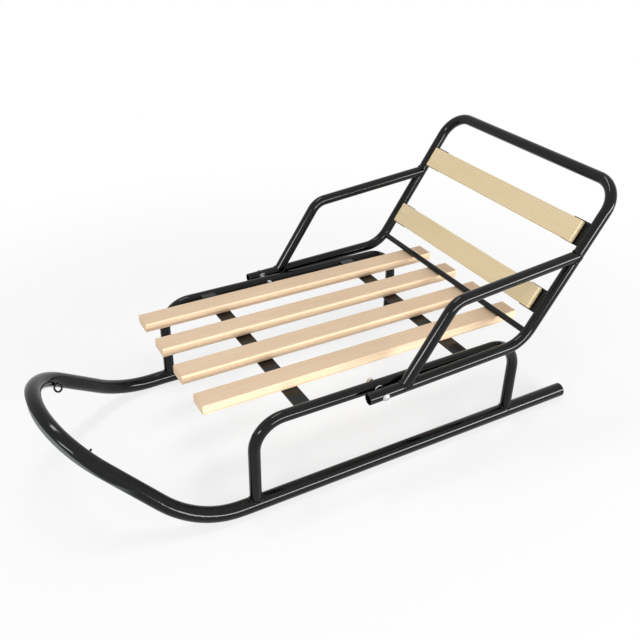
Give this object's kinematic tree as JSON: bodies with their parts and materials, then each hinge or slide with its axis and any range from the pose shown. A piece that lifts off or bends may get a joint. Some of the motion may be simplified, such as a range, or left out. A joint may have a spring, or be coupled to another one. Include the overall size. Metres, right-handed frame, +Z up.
{
  "type": "baby sled",
  "caption": "Towed baby sled with a bent black tube runner and bow, a seat of lengthwise wooden slats, tube armrests and a leaning back with wooden cross slats.",
  "frame": {"origin": "on the ground under the middle of the sled's overall length and width", "axes": "+Z up, the bow points to -Y, +X is the rider's left"},
  "size_m": [0.4348, 0.8786, 0.4097],
  "materials": {
    "frame_paint": "gloss black paint",
    "seat_wood": "planed pale wood, clear varnish",
    "back_wood": "planed pale wood, clear varnish",
    "zinc": "bright zinc plate"
  },
  "bodies": {
    "root": {"back_cross_rod": "frame_paint", "back_frame_tube": "frame_paint", "back_screw_lower_left_high": "zinc", "back_screw_lower_left_low": "zinc", "back_screw_lower_right_high": "zinc", "back_screw_lower_right_low": "zinc", "back_screw_upper_left_high": "zinc", "back_screw_upper_left_low": "zinc", "back_screw_upper_right_high": "zinc", "back_screw_upper_right_low": "zinc", "front_cross_strap": "frame_paint", "left_armrest_tube": "frame_paint", "left_back_bolt": "zinc", "left_back_bolt_nut": "zinc", "left_back_bolt_spacer": "zinc", "left_rope_eye": "frame_paint", "left_support_tube": "frame_paint", "lower_back_slat": "back_wood", "lower_left_slat_tab": "frame_paint", "lower_right_slat_tab": "frame_paint", "rear_cross_strap": "frame_paint", "right_armrest_tube": "frame_paint", "right_back_bolt": "zinc", "right_back_bolt_nut": "zinc", "right_back_bolt_spacer": "zinc", "right_rope_eye": "frame_paint", "right_support_tube": "frame_paint", "runner_and_bow_tube": "frame_paint", "seat_screw_front_left_inner": "zinc", "seat_screw_front_left_outer": "zinc", "seat_screw_front_right_inner": "zinc", "seat_screw_front_right_outer": "zinc", "seat_screw_rear_left_inner": "zinc", "seat_screw_rear_left_outer": "zinc", "seat_screw_rear_right_inner": "zinc", "seat_screw_rear_right_outer": "zinc", "seat_slat_left_inner": "seat_wood", "seat_slat_left_outer": "seat_wood", "seat_slat_right_inner": "seat_wood", "seat_slat_right_outer": "seat_wood", "upper_back_slat": "back_wood", "upper_left_slat_tab": "frame_paint", "upper_right_slat_tab": "frame_paint"}
  },
  "joints": []
}
